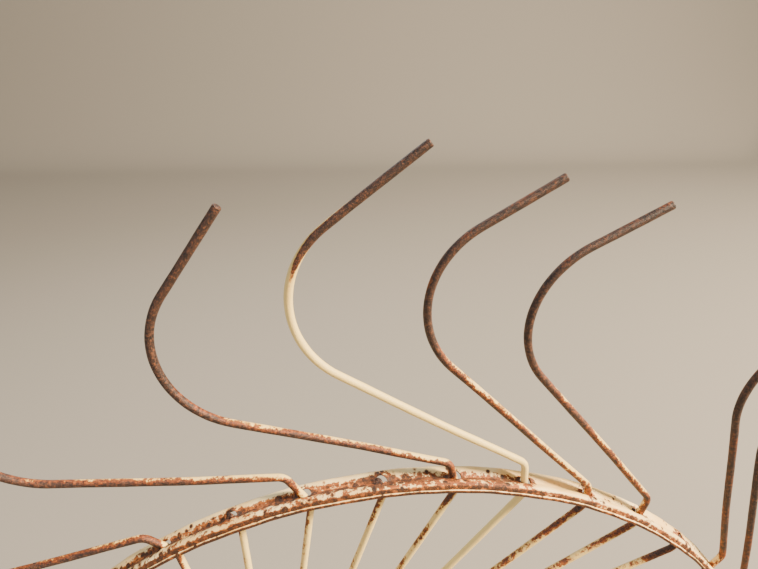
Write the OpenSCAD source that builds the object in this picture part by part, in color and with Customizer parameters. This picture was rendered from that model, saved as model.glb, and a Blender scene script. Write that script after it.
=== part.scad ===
// Raking wheel of a finger wheel hay rake, on its crank arm.
// Millimetres. X runs along the wheel's face, Y along the wheel's axle towards the rake's frame, Z is up.
// The origin is the middle of the arm's pivot bore. The wheel stands in the XZ plane, in front of the arm.

/* [Wheel] */
// Radius of the rim at its row of tine holes
rim_r = 445; // [380:1:520]
// Number of tines, evenly spaced
tine_count = 40; // [32:1:44]
// Angle of the first tine hole, clockwise from straight up
first_hole = 5.8; // [0:0.1:9]
// Radius of the tine holes in the rim
hole_r = 6; // [5:0.25:6.5]
// Thickness of the rim's band
rim_t = 2.5; // [2:0.1:3.2]
// Distance of the two crowns from the middle of the band
crown_off = 8.5; // [7.5:0.25:9]
// Height of the crowns over the valley with the holes
crown_h = 3.5; // [2:0.25:5]
// Distance of the two shoulders' feet from the middle of the band
shoulder_off = 11.5; // [11:0.25:13]
// Depth of the shoulders' feet below the valley
shoulder_depth = 2.5; // [2:0.5:4]
// Width of the flat edge outside each shoulder
edge_w = 3; // [3:0.5:6]

/* [Tine] */
// Radius of the tine wire
wire_r = 3.5; // [3:0.1:4]
// Distance of each spoke's line from the wheel's centre
spoke_off = 145.3; // [132:0.1:158]
// Radius of the spoke's bend just inside the rim
rim_bend_r = 12; // [10:0.5:13]
// Turn of the spoke's bend just inside the rim
rim_turn = 40; // [34:1:44]
// Length of wire from that bend's corner to the rim's hole
rim_in = 12; // [10:0.5:14]
// Length of wire from the rim's hole to the corner of the neck's bend
neck = 22; // [21:0.1:26]
// Radius of the neck's bend, just outside the rim
neck_bend_r = 12; // [10:0.5:13]
// Turn from the spoke to the straight that trails back
neck_turn = 92.5; // [88:0.5:97]
// Length of the straight that trails back, from the corner to the hook's bend
trail = 203; // [180:1:220]
// Radius of the hook's bend
hook_bend_r = 78; // [60:1:90]
// Turn of the hook's bend
hook_turn = 106; // [95:1:115]
// Length of the straight from the hook's bend to the tip
tip = 80; // [60:1:110]
// How far the straights of worn and bent tines differ from each other
spread = 5; // [0:0.5:8]
// How far the bends of worn and bent tines differ from each other
spread_turn = 2; // [0:0.5:3]
// How far a torn tine ends short of the middle of the rim's band
torn_gap = 1; // [0.5:0.5:2.5]

/* [Hub] */
// Radius of the rivets that the tine eyes hook round
rivet_r = 4; // [3.5:0.1:4.5]
// Radius of the ring of rivets
rivet_ring_r = 166; // [164:1:180]
// Thickness of the hub plates
plate_t = 3; // [2:0.25:4]
// Width of plate outside the tine eyes
plate_edge = 7; // [4:0.5:12]
// Radius of the window in the hub plates
window_r = 56; // [46:1:60]
// Radius of the notches round the window
notch_r = 11; // [8:0.5:14]
// Number of notches round the window
notch_count = 6; // [4:1:8]
// Radius of the hub's flange
flange_r = 96; // [88:1:104]
// Outer radius of the hub's barrel
barrel_r = 32; // [28:0.5:36]
// Length of the barrel in front of the tines
barrel_front = 45; // [35:1:60]
// Length of the barrel behind the tines
barrel_rear = 70; // [60:1:80]
// Height of the pressed ridges over the tine eyes
ridge_h = 1.6; // [1:0.1:2.5]
// Length of the dust cap
cap_len = 26; // [20:1:34]
// Wall of the dust cap
cap_t = 1.6; // [1.2:0.1:2.4]

/* [Crank arm] */
// Distance from the wheel's centre to the arm's pivot
arm_len = 420; // [360:1:480]
// Slope of the arm, rising from the wheel to the pivot
arm_slope = 4; // [0:1:20]
// Radius of the spindle
spindle_r = 15; // [12:0.5:17]
// Distance from the tines' plane to the arm tube's centre line
arm_gap = 112; // [110:1:130]
// Outer radius of the arm tube
tube_r = 24; // [20:0.5:26]
// Wall of the arm tube
tube_t = 4; // [3:0.25:6]
// Outer radius of the boss that holds the spindle
boss_r = 30; // [28:0.5:34]
// Radius of the pivot bore
pivot_bore_r = 20; // [16:0.5:22]
// Wall of the pivot sleeve
sleeve_t = 8; // [6:0.5:10]
// Length of the pivot sleeve
sleeve_len = 140; // [120:1:180]
// Thickness of the gusset and of the lift lug
lug_t = 8; // [6:0.5:10]
// Radius of the hole in the lift lug
lug_hole_r = 7; // [5:0.25:9]
// Place of the lift lug along the arm, from the wheel's end
lug_at = 250; // [180:1:270]

/* [Fits] */
// Radial running clearance on the spindle
run_fit = 0.05; // [0.02:0.01:0.1]
// Gap between pieces that only touch
seat = 0.3; // [0.2:0.05:0.5]

/* [Hidden] */
$fn = 48;

pitch = 360 / tine_count;
// Where a straight of wire meets a bend, a collar this much wider reaches this far both ways
lip = 0.05;
lip_len = 0.5;
// The wheel's centre, seen from the pivot bore's middle
sleeve_mid = sleeve_len / 2 - 1.25 * tube_r;
wheel_centre = [arm_len * cos(arm_slope), -arm_gap - sleeve_mid, -arm_len * sin(arm_slope)];
// Half the space between the hub plates, which clamp the tines and the hub's flange
clamp_half = wire_r + seat;
// Radius of a tine's eye, at the middle of its wire
eye_r = rivet_r + seat + wire_r;
// A spoke runs this far off the radius through its hole in the rim, after its bend has moved it aside
hole_aside = rim_in * sin(rim_turn);
spoke_lean = asin((spoke_off + hole_aside) / rim_r);
// Distances along a spoke's line, from its foot point next to the wheel's centre
hole_at = rim_r * cos(spoke_lean);
bend_at = hole_at - rim_in * cos(rim_turn);
// The wire's bend inside the rim begins and ends this far from its corner
rim_cut = rim_bend_r * tan(rim_turn / 2);
// The wire crosses the band aslant, so its side reaches this far from its line there
hole_reach = wire_r / cos(rim_turn - spoke_lean) + rim_t / 2 * tan(rim_turn - spoke_lean);
eye_at = sqrt(pow(rivet_ring_r, 2) - pow(spoke_off - eye_r, 2));
plate_r = rivet_ring_r + eye_r + wire_r + plate_edge;
rivet_head_r = 1.5 * rivet_r;
// The seal stands out of the barrel's rear end, then come the thrust washer and the spindle's collar
seal_out = 2;
washer_at = barrel_rear + seal_out + 2 * seat;
collar_y = washer_at + 3;

// Tines by their number, counted clockwise from the first hole
NEW = 1;
BROKEN = [-1, -3, 4];
// Each group of worn tines: its first and last number
TOP = [-4, 5];
RIGHT = [6, 15];
BOTTOM = [16, 25];
LEFT = [26, 35];
// Tines that are bent in their own way: number, then what is added to neck_turn, neck, trail, hook_turn and
// tip, where the neck is in hundredths of neck and the other lengths are in hundredths of trail
CHANGES = [[-2, 2.5, 33, -4.4, 0, 4.7], [0, 5.4, -7, -3.3, 2.6, 0.6], [1, 0, 20, -0.7, 3, 7.3],
    [2, -3.7, -40, 1.9, -2.8, -4.9], [3, 1, 11, 0.1, -3.6, -7.3], [5, -8, 0, -4.1, 0, 0]];

CREAM = "#dccba0";
OLD_RUST = "#5f3a2a";
STEEL = "#8b8a86";
BRICK = "#8f4438";

// Puts children on the wheel's axle, in the tines' plane
module at_wheel() {
    translate(wheel_centre) children();
}

// Puts children on the line of tine k: x outward along the spoke, y away from the wheel's centre
module at_spoke(k) {
    rotate([0, first_hole + k * pitch, 0]) rotate([90, 0, 0]) rotate([0, 0, 90 - spoke_lean])
        translate([0, spoke_off, 0]) children();
}

// The same placing for flat outlines, in the wheel's own XZ plane
module at_spoke_flat(k) {
    rotate(-first_hole - k * pitch) rotate(90 - spoke_lean) translate([0, spoke_off]) children();
}

// Turns an outline drawn in the wheel's plane into a plate from y = front to y = back
module wheel_plate(front, back) {
    translate([0, back, 0]) rotate([90, 0, 0]) linear_extrude(back - front) children();
}

// Turns a profile of [radius, distance along the axle towards the frame] about the axle
module about_axle() {
    rotate([-90, 0, 0]) rotate_extrude($fn = 120) children();
}

// A ring or a tube about the axle
module axle_tube(outer, inner, front, back) {
    about_axle() translate([inner, front]) square([outer - inner, back - front]);
}

// One bend of the wire to the left, starting along x
module wire_bend(r, turn) {
    translate([0, r, 0]) rotate([0, 0, -90]) rotate_extrude(angle = turn) translate([r, 0]) circle(wire_r);
}

// Turns a profile of [radius, distance] about the wire's own line, along x
module about_wire() {
    rotate([0, 90, 0]) rotate_extrude() children();
}

// A straight of wire along x, whose two ends hold the bends that they meet in a collar a hair wider
module wire_straight(length) {
    about_wire() polygon([[0, -lip_len], [wire_r + lip, -lip_len], [wire_r + lip, lip_len], [wire_r, lip_len],
        [wire_r, length - lip_len], [wire_r + lip, length - lip_len], [wire_r + lip, length + lip_len],
        [0, length + lip_len]]);
}

// The last straight of a wire, whose end is worn or torn to a cone
module wire_end(length, end_r, end_length) {
    about_wire() polygon([[0, -lip_len], [wire_r + lip, -lip_len], [wire_r + lip, lip_len], [wire_r, lip_len],
        [wire_r, length - end_length], [end_r, length], [0, length]]);
}

// The eye at the inner end, open towards the spoke
module wire_eye() {
    translate([eye_at, -eye_r, 0]) rotate([0, 0, 90]) rotate_extrude(angle = 270)
        translate([eye_r, 0]) circle(wire_r);
}

// Wire through a list of bends, each [straight length before it, bend radius, turn to the left], with
// children at the end
module wire_run(steps, i = 0) {
    if (i < len(steps)) {
        length = steps[i][0];
        r = steps[i][1];
        turn = steps[i][2];
        side = sign(turn);
        wire_straight(length);
        translate([length, 0, 0]) {
            mirror([0, side < 0 ? 1 : 0, 0]) wire_bend(r, abs(turn));
            translate([r * sin(abs(turn)), side * r * (1 - cos(turn)), 0]) rotate([0, 0, turn])
                wire_run(steps, i + 1) children();
        }
    } else children();
}

// A whole tine: eye, spoke, the bend inside the rim, the neck through the rim's hole and its bend, the straight
// that trails back, the hook and its tip. change is how it differs: [neck turn, neck, trail, hook turn, tip]
module tine(k, change) {
    turn = neck_turn + change[0] - rim_turn;
    cut = neck_bend_r * tan(turn / 2);
    at_spoke(k) {
        wire_eye();
        translate([eye_at, 0, 0]) wire_run([
            [bend_at - rim_cut - eye_at, rim_bend_r, rim_turn],
            [rim_in + neck + change[1] - rim_cut - cut, neck_bend_r, turn],
            [trail + change[2] - cut, hook_bend_r, -hook_turn - change[3]]])
            wire_end(tip + change[4], wire_r * 0.75, wire_r * 0.3);
    }
}

// A tine torn off in the rim's hole
module torn_tine(k) {
    at_spoke(k) {
        wire_eye();
        translate([eye_at, 0, 0]) wire_run([[bend_at - rim_cut - eye_at, rim_bend_r, rim_turn]])
            wire_end(rim_in - rim_cut - torn_gap, wire_r * 0.35, wire_r);
    }
}

function change_of(k) = let (found = search(k, CHANGES), own = CHANGES[found[0]], part = trail / 100)
    len(found) > 0 ? [own[1], neck / 100 * own[2], part * own[3], own[4], part * own[5]]
    : [spread_turn * sin(59 * k), spread * sin(47 * k) / 3, spread * sin(73 * k), spread_turn * sin(101 * k),
        spread * sin(137 * k)];

module worn_tines(range) {
    for (k = [range[0]:range[1]])
        if (k != NEW && len(search(k, BROKEN)) == 0) tine(k, change_of(k));
}

module tines_top() {
    color(OLD_RUST) at_wheel() worn_tines(TOP);
}

module tines_right() {
    color(OLD_RUST) at_wheel() worn_tines(RIGHT);
}

module tines_bottom() {
    color(OLD_RUST) at_wheel() worn_tines(BOTTOM);
}

module tines_left() {
    color(OLD_RUST) at_wheel() worn_tines(LEFT);
}

module new_tine() {
    color(CREAM) at_wheel() tine(NEW, change_of(NEW));
}

module broken_tines() {
    color(OLD_RUST) at_wheel() for (k = BROKEN) torn_tine(k);
}

// Middle line of one half of the rim's band, as [radius, offset]: valley, crown, shoulder, the small fillet at
// its foot, and the flat edge
foot_r = 0.8 * rim_t;
rim_half = concat(
    [for (s = [0:4]) [rim_r + crown_h * (1 - cos(45 * s)) / 2, crown_off * s / 4]],
    [for (a = [22.5:22.5:90]) [rim_r + crown_h - (crown_h + shoulder_depth - foot_r) * (1 - cos(a)),
        crown_off + (shoulder_off - crown_off) * sin(a)]],
    [for (b = [30:30:90]) [rim_r - shoulder_depth + foot_r * (1 - sin(b)), shoulder_off + foot_r * (1 - cos(b))]],
    [[rim_r - shoulder_depth, shoulder_off + edge_w]]);
rim_line = concat([for (i = [len(rim_half) - 1:-1:1]) [rim_half[i][0], -rim_half[i][1]]], rim_half);

// A line's points moved sideways by d
function beside(line, d) = [for (i = [0:len(line) - 1])
    let (a = line[max(i - 1, 0)], b = line[min(i + 1, len(line) - 1)], step = b - a)
    line[i] + d * [step[1], -step[0]] / norm(step)];
function backwards(line) = [for (i = [len(line) - 1:-1:0]) line[i]];

// From the line of a tine to where it crosses the rim, with x along the rim's radius
module at_rim_hole() {
    translate([hole_at, hole_aside, 0]) rotate([0, 0, spoke_lean]) children();
}

// The rolled band. Each hole lets its wire rest against the side to which the tine trails
module rim() {
    color(CREAM) at_wheel() difference() {
        about_axle() polygon(concat(beside(rim_line, rim_t / 2), backwards(beside(rim_line, -rim_t / 2))));
        for (k = [0:tine_count - 1]) at_spoke(k) at_rim_hole() translate([0, hole_reach + seat - hole_r, 0])
            rotate([0, 90, 0]) cylinder(r = hole_r, h = 8 * rim_t, center = true);
    }
}

// The window in a hub plate, with its notches
module window() {
    circle(window_r, $fn = 96);
    for (i = [0:notch_count - 1]) rotate(i * 360 / notch_count) translate([window_r, 0]) circle(notch_r);
}

// The pressed ridge over one tine: a ring round the rivet and a tail out to the plate's edge
module tine_ridge() {
    difference() {
        union() {
            translate([eye_at, -eye_r]) circle(eye_r + wire_r);
            translate([eye_at, -wire_r]) square([plate_r, 2 * wire_r]);
        }
        translate([eye_at, -eye_r]) circle(rivet_head_r + 2 * seat);
    }
}

module hub_plate() {
    wheel_plate(-clamp_half - plate_t, -clamp_half) difference() {
        circle(plate_r, $fn = 180);
        window();
        for (k = [0:tine_count - 1]) at_spoke_flat(k) translate([eye_at, -eye_r]) circle(rivet_r + run_fit);
    }
    wheel_plate(-clamp_half - plate_t - ridge_h, -clamp_half - plate_t) intersection() {
        circle(plate_r - 2, $fn = 180);
        for (k = [0:tine_count - 1]) at_spoke_flat(k) tine_ridge();
    }
}

module front_hub_plate() {
    color(CREAM) at_wheel() hub_plate();
}

module rear_hub_plate() {
    color(CREAM) at_wheel() mirror([0, 1, 0]) hub_plate();
}

// A rivet through both plates and a tine's eye, with a low head at each end
module rivet() {
    face = clamp_half + plate_t;
    cylinder(r = rivet_r, h = 2 * face, center = true);
    for (side = [0, 1]) mirror([0, 0, side]) translate([0, 0, face])
        cylinder(r1 = rivet_head_r, r2 = rivet_r, h = 0.6 * rivet_r);
}

module tine_rivets() {
    color(STEEL) at_wheel() for (k = [0:tine_count - 1]) at_spoke(k) translate([eye_at, -eye_r, 0]) rivet();
}

// Cast hub: barrel with a flange between the two plates, and a fillet on each side of the flange
module hub_barrel() {
    color(STEEL) at_wheel() about_axle() polygon([
        [spindle_r + run_fit, -barrel_front],
        [barrel_r, -barrel_front],
        [barrel_r, -clamp_half - 10],
        [barrel_r + 10, -clamp_half],
        [flange_r, -clamp_half],
        [flange_r, clamp_half],
        [barrel_r + 14, clamp_half],
        [barrel_r, clamp_half + 14],
        [barrel_r, barrel_rear],
        [spindle_r + run_fit, barrel_rear]]);
}

// Pressed cap with a rounded nose, over the front end of the barrel
module dust_cap() {
    nose = barrel_front + cap_len;
    round_r = 0.4 * cap_len;
    side = barrel_r - 2;
    color(STEEL) at_wheel() about_axle() difference() {
        union() {
            translate([0, -nose]) square([side - round_r, cap_len]);
            translate([0, -nose + round_r]) square([side, cap_len - round_r]);
            translate([side - round_r, -nose + round_r]) circle(round_r);
        }
        translate([0, -nose + cap_t]) square([side - round_r, cap_len]);
        translate([0, -nose + round_r]) square([side - cap_t, cap_len]);
        translate([side - round_r, -nose + round_r]) circle(round_r - cap_t);
        translate([-2 * barrel_r, -2 * nose]) square([2 * barrel_r, 3 * nose]);
    }
}

// Seal ring at the barrel's rear end
module rear_seal() {
    color("#2c2a28") at_wheel() axle_tube(barrel_r - 3, spindle_r + 1, barrel_rear, barrel_rear + seal_out);
}

// Stub axle with a collar that seats on the arm's boss
module spindle() {
    color(STEEL) at_wheel() {
        axle_tube(spindle_r, 0, -barrel_front - 4, arm_gap + boss_r);
        axle_tube(1.5 * spindle_r, spindle_r - 1, collar_y, arm_gap - boss_r + 4);
    }
}

module thrust_washer() {
    color(STEEL) at_wheel() axle_tube(barrel_r - 6, spindle_r + run_fit, washer_at, collar_y - seat);
}

module arm_boss() {
    color(BRICK) at_wheel() axle_tube(boss_r, spindle_r + run_fit, arm_gap - boss_r + 4, arm_gap + boss_r - 4);
}

// Puts children on the arm's centre line: x from the wheel to the pivot
module along_arm() {
    at_wheel() translate([0, arm_gap, 0]) rotate([0, 180 + arm_slope, 0]) children();
}

module arm_tube() {
    color(BRICK) difference() {
        along_arm() rotate([0, 90, 0]) difference() {
            cylinder(r = tube_r, h = arm_len);
            translate([0, 0, -1]) cylinder(r = tube_r - tube_t, h = arm_len + 2);
        }
        at_wheel() axle_tube(boss_r + seat, 0, 0, 2 * arm_gap);
        rotate([90, 0, 0]) cylinder(r = pivot_bore_r + sleeve_t + seat, h = 2 * sleeve_len, center = true);
    }
}

module pivot_sleeve() {
    color(BRICK) rotate([90, 0, 0]) difference() {
        cylinder(r = pivot_bore_r + sleeve_t, h = sleeve_len, center = true);
        cylinder(r = pivot_bore_r, h = sleeve_len + 2, center = true);
    }
}

// Plate that stiffens the corner between the arm tube and the pivot sleeve
module gusset() {
    depth = 2.75 * tube_r;
    reach = 4.5 * tube_r;
    start = pivot_bore_r + sleeve_t + seat;
    color(BRICK) along_arm() translate([arm_len, 0, 0]) linear_extrude(lug_t, center = true) polygon([
        [-start, tube_r + seat],
        [-start - reach, tube_r + seat],
        [-start - reach, tube_r + 8],
        [-start - 2 * lug_t, tube_r + depth],
        [-start, tube_r + depth]]);
}

// Lug on top of the arm tube, with the hole that the lift chain hooks into
module lift_lug() {
    base = 10 * lug_hole_r;
    high = 3.25 * lug_t;
    nose_r = lug_hole_r + lug_t;
    color(BRICK) along_arm() translate([lug_at, 0, 0]) rotate([-90, 0, 0]) translate([0, tube_r + seat, 0])
        difference() {
            linear_extrude(lug_t, center = true) {
                polygon([[-base / 2, 0], [base / 2, 0], [nose_r, high], [-nose_r, high]]);
                translate([0, high]) circle(nose_r);
            }
            translate([0, high, 0]) cylinder(r = lug_hole_r, h = lug_t + 2, center = true);
        }
}

rim();
tines_top();
tines_right();
tines_bottom();
tines_left();
new_tine();
broken_tines();
front_hub_plate();
rear_hub_plate();
tine_rivets();
hub_barrel();
dust_cap();
rear_seal();
spindle();
thrust_washer();
arm_boss();
arm_tube();
pivot_sleeve();
gusset();
lift_lug();
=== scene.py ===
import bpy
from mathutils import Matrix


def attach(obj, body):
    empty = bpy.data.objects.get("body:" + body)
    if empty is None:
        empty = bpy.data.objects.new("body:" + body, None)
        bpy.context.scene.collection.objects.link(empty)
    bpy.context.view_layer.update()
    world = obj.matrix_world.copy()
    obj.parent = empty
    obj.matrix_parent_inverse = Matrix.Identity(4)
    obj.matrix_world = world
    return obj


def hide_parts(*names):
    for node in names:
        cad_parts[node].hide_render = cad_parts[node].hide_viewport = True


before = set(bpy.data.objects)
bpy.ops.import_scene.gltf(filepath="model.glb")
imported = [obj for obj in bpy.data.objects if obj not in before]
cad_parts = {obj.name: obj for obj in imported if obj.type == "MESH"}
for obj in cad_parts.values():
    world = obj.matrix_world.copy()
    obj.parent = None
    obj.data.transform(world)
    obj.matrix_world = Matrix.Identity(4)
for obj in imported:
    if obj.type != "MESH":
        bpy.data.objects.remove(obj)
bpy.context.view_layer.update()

import math

import bmesh
import bpy
import numpy as np
from mathutils import Matrix, Vector

# Sizes in millimetres, the same as the part's. The wheel's own frame has its origin at the wheel's centre, in
# the tines' plane: X to the right, Y along the axle towards the rake's frame, Z up.
WHEEL_CENTRE = np.array([418.977, -152.0, -29.298])
RIM_R, RIM_T, TINES, FIRST_HOLE, HOLE_R = 445.0, 2.5, 40, 5.8, 6.0
CROWN_OFF, CROWN_H, SHOULDER_OFF, SHOULDER_DEPTH, FOOT_R, EDGE_W = 8.5, 3.5, 11.5, 2.5, 2.0, 3.0
WIRE_R, SPOKE_OFF, RIM_BEND_R, RIM_TURN, RIM_IN = 3.5, 145.3, 12.0, 40.0, 12.0
NECK, NECK_BEND_R, NECK_TURN = 22.0, 12.0, 92.5
TRAIL, HOOK_BEND_R, HOOK_TURN, TIP, SPREAD, SPREAD_TURN = 203.0, 78.0, 106.0, 80.0, 5.0, 2.0
RIVET_R, RIVET_RING_R, PLATE_T, PLATE_EDGE = 4.0, 166.0, 3.0, 7.0
WINDOW_R, NOTCH_R, NOTCHES, RIDGE_H, SEAT = 56.0, 11.0, 6, 1.6, 0.3
ARM_LEN, ARM_SLOPE, ARM_GAP, TUBE_R, BOSS_R, SLEEVE_R = 420.0, 4.0, 112.0, 24.0, 30.0, 28.0

CLAMP_HALF = WIRE_R + SEAT
EYE_R = RIVET_R + SEAT + WIRE_R
SPOKE_LEAN = math.asin((SPOKE_OFF + RIM_IN * math.sin(math.radians(RIM_TURN))) / RIM_R)
BEND_AT = RIM_R * math.cos(SPOKE_LEAN) - RIM_IN * math.cos(math.radians(RIM_TURN))
HOLE_TILT = math.radians(RIM_TURN) - SPOKE_LEAN
HOLE_REACH = WIRE_R / math.cos(HOLE_TILT) + RIM_T / 2 * math.tan(HOLE_TILT)
EYE_AT = math.sqrt(RIVET_RING_R ** 2 - (SPOKE_OFF - EYE_R) ** 2)
PLATE_R = RIVET_RING_R + EYE_R + WIRE_R + PLATE_EDGE
RIM_CUT = RIM_BEND_R * math.tan(math.radians(RIM_TURN / 2))
PLATE_FACE = CLAMP_HALF + PLATE_T

# Sizes of what only the scene has, in millimetres and degrees: how far a torn wire stands up in its hole and
# how long its slanted end is, how much shorter a tip is so that a wire that wanders stays in the part's box,
# the rings' spacing on a wire, the collars round the rim's holes, and the small fasteners and welds
TORN_RISE, TORN_END, TIP_TRIM = 4.5, 5.0, 0.6
RINGS, SIDES, RING_STEP, RING_TURN = 270, 14, 4.0, 7.0
COLLAR_H, TORN_COLLAR_H, COLLAR_W = 0.7, 0.9, 2.4
RIDGE_HALF_W, PLATE_SOFT = 5.2, 0.8
RIVET_HEAD_R, RIVET_HEAD_H = 6.0, 2.4
BOLT_RING_R, BOLTS, FIRST_BOLT = 82.0, 6, 30.0
WELD_R, WELD_GAP = 3.2, 0.5

# Tines by number, clockwise from the first hole; those bent in their own way have what is added to the neck's
# turn, the neck, the trail, the hook's turn and the tip, with lengths in hundredths of the neck and the trail
NEW_TINE = 1
TORN_TINES = [-1, -3, 4]
BENT = {-2: (2.5, 33, -4.4, 0, 4.7), 0: (5.4, -7, -3.3, 2.6, 0.6), 1: (0, 20, -0.7, 3, 7.3),
        2: (-3.7, -40, 1.9, -2.8, -4.9), 3: (1, 11, 0.1, -3.6, -7.3), 5: (-8, 0, -4.1, 0, 0)}

# How much paint is left on a spoke and on a tine outside the rim, 0 to 1, where its number alone doesn't tell
SPOKE_PAINT = {-4: 0.4, -3: 0.9, -2: 0.8, -1: 0.95, 0: 0.6, 2: 0.45, 3: 0.42, 4: 0.55, 5: 0.6}
TINE_PAINT = {-2: 0.35, 3: 0.7}
# Along a wire, in millimetres outside its hole: where the paint's ramp starts and ends, and where it is bare
PAINT_FROM, PAINT_TO, BARE_MM = -350.0, 550.0, 480

# How far the rim's enamel has gone, 0 to 1, at these degrees round the wheel
WEAR_AT = [-180, -150, -110, -80, -40, -3, 2, 14, 17, 40, 70, 110, 150, 180]
VALLEY_WEAR = [0.6, 0.9, 0.5, 0.8, 1.0, 0.95, 0.7, 0.6, 0.15, 0.1, 0.7, 0.9, 0.4, 0.6]
CROWN_WEAR = [0.2, 0.5, 0.2, 0.4, 0.25, 0.4, 0.8, 0.75, 0.05, 0.1, 0.5, 0.2, 0.4, 0.2]
# On the shoulders and the edges the dark brown is partly rust and partly painted shade
SHOULDER_RUST_AND_SHADE = [1, 1, 1, 1, 1, 1, 1, 0.95, 0.76, 0.74, 0.9, 1, 1, 1]

# Rust from its dark scale to its orange powder: purple brown on wire, redder on sheet
WIRE_RUST = ("#0f0807", "#241713", "#432a20", "#69442f", "#8a4c20")
SHEET_RUST = ("#140a07", "#28150c", "#46260f", "#6d3b14", "#985a20")


def colour(code):
    """Linear colour of an sRGB hex code: c / 12.92 below 0.04045, ((c + 0.055) / 1.055) ^ 2.4 above."""
    s = np.array([int(code[i:i + 2], 16) for i in (1, 3, 5)]) / 255
    return (*np.where(s <= 0.04045, s / 12.92, ((s + 0.055) / 1.055) ** 2.4).tolist(), 1.0)


def per_m(mm):
    """Texture scale, in repeats a metre, for a pattern whose grains are this many millimetres apart."""
    return 1000.0 / mm


def new_material(name):
    """A procedural material without any nodes."""
    material = bpy.data.materials.new(name)
    material.use_nodes = True
    material.node_tree.nodes.clear()
    return material


def add(material, kind, inputs=None, stops=None, **settings):
    """Adds one node with its settings; each named or numbered input gets a link or a value."""
    node = material.node_tree.nodes.new(kind)
    for key, value in settings.items():
        setattr(node, key, value)
    if stops:
        elements = node.color_ramp.elements
        while len(elements) < len(stops):
            elements.new(0.5)
        for element, (place, shade) in zip(elements, stops):
            element.position = place
            element.color = colour(shade) if isinstance(shade, str) else (shade, shade, shade, 1.0)
    for key, value in (inputs or {}).items():
        if isinstance(value, bpy.types.NodeSocket):
            material.node_tree.links.new(value, node.inputs[key])
        else:
            node.inputs[key].default_value = value
    return node


def skin(points, ring=False):
    """Closed skin over a stack of grids, (copies, rows, columns, 3), whose columns close on themselves.
    With ring the rows close too; otherwise a fan to its middle point closes the first and last row."""
    copies, rows, columns = points.shape[:3]
    index = np.arange(copies * rows * columns).reshape(copies, rows, columns)
    beside = np.roll(index, -1, axis=2)
    if ring:
        below, across = np.roll(index, -1, axis=1), np.roll(beside, -1, axis=1)
        return points.reshape(-1, 3), [np.stack([index, beside, across, below], -1).reshape(-1, 4)]
    quads = np.stack([index[:, :-1], beside[:, :-1], beside[:, 1:], index[:, 1:]], -1).reshape(-1, 4)
    poles = index.size + np.arange(2 * copies).reshape(copies, 2)
    head = np.broadcast_to(poles[:, :1], (copies, columns))
    tail = np.broadcast_to(poles[:, 1:], (copies, columns))
    fans = np.concatenate([np.stack([beside[:, 0], index[:, 0], head], -1).reshape(-1, 3),
                           np.stack([index[:, -1], beside[:, -1], tail], -1).reshape(-1, 3)])
    middles = points[:, [0, -1]].mean(2).reshape(-1, 3)
    return np.concatenate([points.reshape(-1, 3), middles]), [quads, fans]


def on_skin(values):
    """Values given on the same stack of grids, in the order of skin's points, middle points included."""
    return np.concatenate([values.reshape(-1), values[:, [0, -1]].mean(2).reshape(-1)])


def piece(name, points, faces, material, body, slot, stands_for=(), origin=WHEEL_CENTRE, **values):
    """Makes a mesh of points in millimetres from the origin, with faces outward, smooth but for edges
    over 40 degrees, and its values as attributes."""
    mesh = bpy.data.meshes.new(name)
    mesh.from_pydata(((points + origin) / 1000).tolist(), [], [f for group in faces for f in group.tolist()])
    for key, numbers in values.items():
        mesh.attributes.new(key, "FLOAT", "POINT").data.foreach_set("value", numbers.astype(np.float32))
    shape = bmesh.new()
    shape.from_mesh(mesh)
    bmesh.ops.recalc_face_normals(shape, faces=shape.faces)
    shape.to_mesh(mesh)
    shape.free()
    mesh.polygons.foreach_set("use_smooth", np.ones(len(mesh.polygons), bool))
    mesh.set_sharp_from_angle(angle=math.radians(40))
    mesh.materials.append(material)
    thing = bpy.data.objects.new(name, mesh)
    bpy.context.scene.collection.objects.link(thing)
    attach(thing, body)
    if stands_for:
        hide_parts(*stands_for)


def heading_of(number):
    """A tine's direction in the wheel, in radians: 90 degrees less the lean, less the tine's own angle."""
    return math.pi / 2 - SPOKE_LEAN - np.radians(FIRST_HOLE + 360 / TINES * number)


def to_wheel(along, away, out, number):
    """Points along a tine's spoke, away from it and out along the axle, put in the wheel's frame: the
    spoke's line passes the axle at its offset and is turned to the tine's own direction."""
    turn = heading_of(number)
    away = away + SPOKE_OFF
    x = along * np.cos(turn) - away * np.sin(turn)
    z = along * np.sin(turn) + away * np.cos(turn)
    return np.stack([x, out + 0 * x, z], -1)


def change_of(number):
    """What is added to this tine's neck turn, neck, trail, hook turn and tip: its own, or a few sines."""
    if number in BENT:
        return np.array(BENT[number]) * [1, NECK / 100, TRAIL / 100, 1, TRAIL / 100]
    wave = np.sin(np.radians(np.array([59, 47, 73, 101, 137]) * number))
    return wave * [SPREAD_TURN, SPREAD / 3, SPREAD, SPREAD_TURN, SPREAD]


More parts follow.
